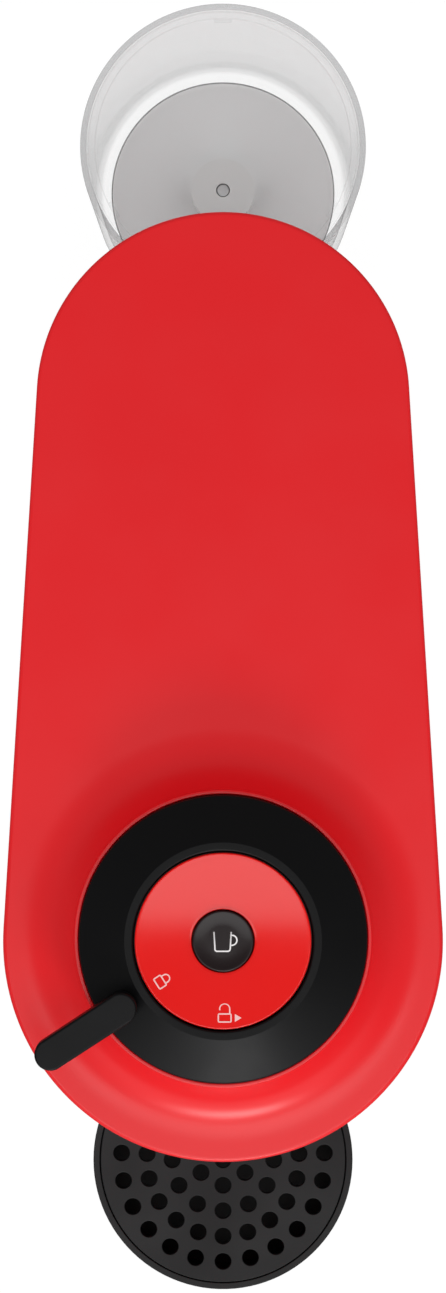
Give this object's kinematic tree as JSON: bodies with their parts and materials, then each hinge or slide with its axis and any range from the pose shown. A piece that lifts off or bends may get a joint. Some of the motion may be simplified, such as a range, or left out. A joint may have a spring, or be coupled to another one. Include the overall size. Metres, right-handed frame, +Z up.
{
  "type": "pod coffee machine",
  "caption": "Slim pod coffee machine with a spinning capsule drum, lift-up pill-shaped head, round dial with a lock lever, round drip tray in front and clear round water tank behind.",
  "frame": {"origin": "on the table under the middle of the machine's overall length and width", "axes": "+Z up, -Y towards the cup and drip tray (front), +Y towards the water tank, +X to the right seen from above with the front towards the viewer"},
  "size_m": [0.136, 0.426, 0.25],
  "materials": {
    "red_plastic": "satin moulded ABS",
    "gloss_red": "polished",
    "black_plastic": "fine matte moulding",
    "dark_plastic": "moulded",
    "ring_plastic": "soft matte",
    "grid_plastic": "matte",
    "button_plastic": "semi-gloss",
    "clear_plastic": "clear moulded copolyester",
    "white_plastic": "moulded",
    "signal_plastic": "moulded",
    "rubber": "matte",
    "silicone": "translucent",
    "steel": "plain",
    "brushed_steel": "brushed",
    "zinc": "die cast",
    "aluminium": "cast and machined",
    "copper": "enamelled windings",
    "brass": "turned",
    "circuit_board": "solder mask"
  },
  "bodies": {
    "base": {"base_pan": "black_plastic", "rubber_feet": "rubber", "chassis": "dark_plastic", "column_shell": "red_plastic", "rear_cover": "black_plastic", "cord_gland": "rubber", "base_screws": "steel", "lower_head": "red_plastic", "head_deck": "black_plastic", "hinge_bracket": "zinc", "hinge_pins": "steel", "capsule_chute": "dark_plastic", "brew_collector": "dark_plastic", "coffee_spout": "black_plastic", "barcode_reader": "circuit_board", "motor_plate": "steel", "motor_stator": "copper", "drum_bearings": "steel", "heater_block": "aluminium", "pump_mounts": "rubber", "pump_frame": "steel", "pump_coil": "copper", "pump_body": "white_plastic", "pump_spring": "steel", "flow_meter": "white_plastic", "control_board": "circuit_board", "tank_socket": "dark_plastic", "tank_hose": "silicone", "suction_hose": "silicone", "pressure_hose": "silicone", "hot_water_hose": "silicone", "water_swivel": "brass"},
    "drum": {"motor_rotor": "zinc", "drum_shaft": "steel", "capsule_drum": "brushed_steel"},
    "piston": {"pump_piston": "steel"},
    "impeller": {"flow_impeller": "signal_plastic"},
    "drip_unit": {"drip_bowl": "black_plastic", "capsule_bin": "black_plastic"},
    "grid": {"drip_grid": "grid_plastic"},
    "tank": {"water_tank": "clear_plastic", "tank_seal": "rubber", "valve_cage": "white_plastic", "valve_spring": "steel"},
    "tank_cover": {"tank_lid": "clear_plastic"},
    "valve": {"tank_valve": "signal_plastic"},
    "lid": {"lid_shell": "red_plastic", "lid_liner": "black_plastic", "hinge_arms": "zinc", "lid_swivel": "brass", "lid_hose": "silicone", "dial_hub": "dark_plastic", "dial_disc": "gloss_red", "button_board": "circuit_board", "button_spring": "steel", "clamp_hub": "zinc"},
    "button": {"brew_button": "button_plastic"},
    "lever": {"lever_ring": "ring_plastic", "lever_grip": "ring_plastic"},
    "clamp": {"clamp_head": "brushed_steel"}
  },
  "joints": [
    {"name": "lid_hinge", "type": "hinge", "parent": "base", "child": "lid", "pos_m": [0, 0.122, 0.194], "axis": [-1, 0, 0], "range_deg": [0, 60]},
    {"name": "lever_turn", "type": "hinge", "parent": "lid", "child": "lever", "pos_m": [0, -0.0782, 0.24], "axis": [0, 0, 1], "range_deg": [0, 57]},
    {"name": "button_press", "type": "slide", "parent": "lid", "child": "button", "axis": [0, 0, -1], "range_m": [0, 0.0012], "stiffness_N_per_m": 400, "springref_m": -0.001, "deforming": ["button_spring"]},
    {"name": "drum_spin", "type": "hinge", "parent": "base", "child": "drum", "pos_m": [0, -0.0782, 0.15], "axis": [0, 0, 1], "continuous": true},
    {"name": "clamp_spin", "type": "hinge", "parent": "lid", "child": "clamp", "pos_m": [0, -0.0782, 0.19], "axis": [0, 0, 1], "continuous": true},
    {"name": "drip_unit_slide", "type": "slide", "parent": "base", "child": "drip_unit", "axis": [0, -1, 0], "range_m": [0, 0.12]},
    {"name": "grid_lift", "type": "slide", "parent": "drip_unit", "child": "grid", "axis": [0, 0, 1], "range_m": [0, 0.04]},
    {"name": "tank_pull", "type": "slide", "parent": "base", "child": "tank", "axis": [0, 0.866, 0.5], "range_m": [0, 0.12]},
    {"name": "tank_cover_lift", "type": "slide", "parent": "tank", "child": "tank_cover", "axis": [0, 0, 1], "range_m": [0, 0.015]},
    {"name": "tank_valve_press", "type": "slide", "parent": "tank", "child": "valve", "axis": [0, 0, 1], "range_m": [0, 0.0025], "stiffness_N_per_m": 100, "springref_m": -0.003, "deforming": ["valve_spring"]},
    {"name": "pump_stroke", "type": "slide", "parent": "base", "child": "piston", "axis": [0, 0, 1], "range_m": [0, 0.004], "stiffness_N_per_m": 300, "springref_m": -0.003, "deforming": ["pump_spring"]},
    {"name": "impeller_spin", "type": "hinge", "parent": "base", "child": "impeller", "pos_m": [0, 0.09, 0.015], "axis": [0, 0, 1], "continuous": true}
  ],
  "couplings": [
    {"joint": "clamp_spin", "follows": "drum_spin", "ratio": 1}
  ]
}
